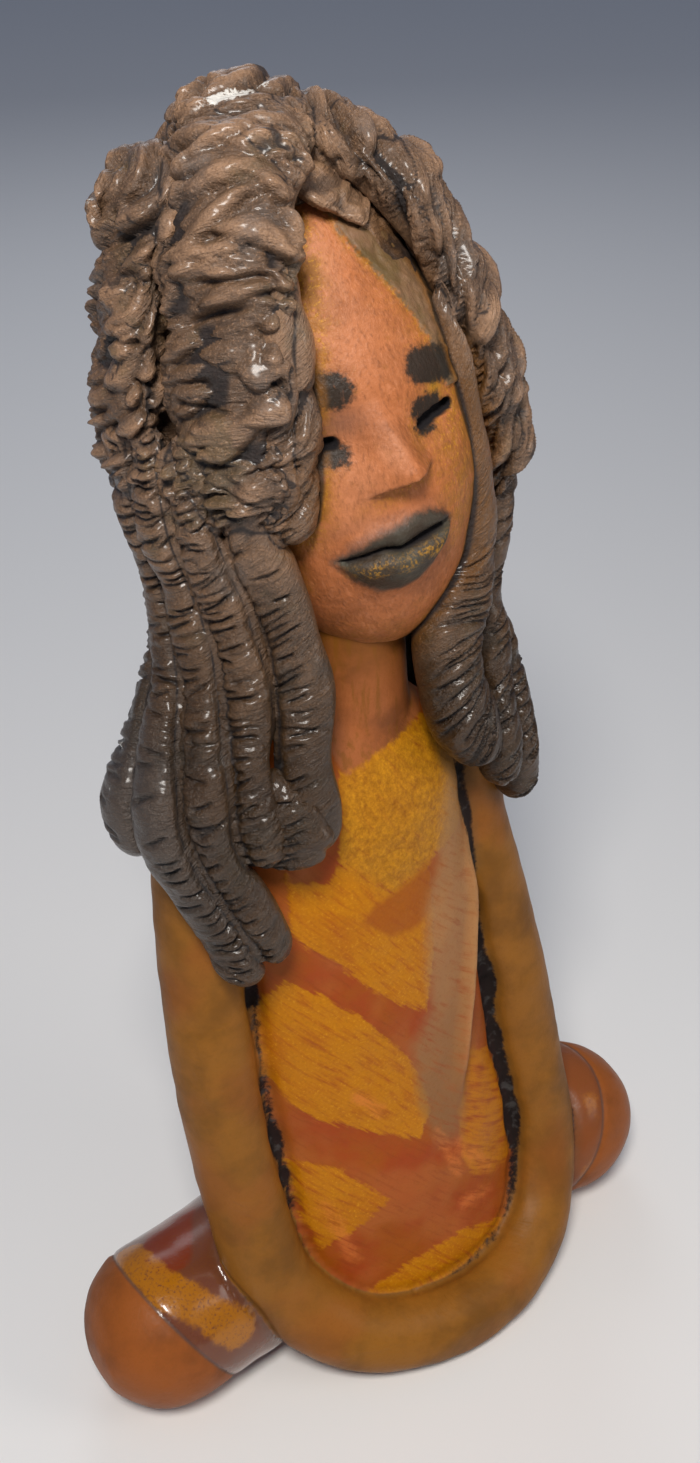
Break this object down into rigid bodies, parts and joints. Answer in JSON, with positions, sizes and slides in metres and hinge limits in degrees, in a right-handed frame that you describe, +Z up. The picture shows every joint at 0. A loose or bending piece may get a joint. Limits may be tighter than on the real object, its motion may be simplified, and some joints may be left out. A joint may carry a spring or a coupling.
{
  "type": "clay doll",
  "caption": "Hand-built clay doll: a slender seated woman with long coiled locks, a mask-like face, a painted dress and arms joined in a loop.",
  "frame": {"origin": "on the ground under the middle of the figure's box", "axes": "+Z up through the figure, which faces -Y; its own right side is at -X"},
  "size_m": [0.149, 0.0954, 0.2748],
  "materials": {
    "fired_clay": "satin",
    "painted_dress": "satin",
    "hair_clay": "satin"
  },
  "bodies": {
    "root": {"clay_doll": "fired_clay"}
  },
  "joints": []
}
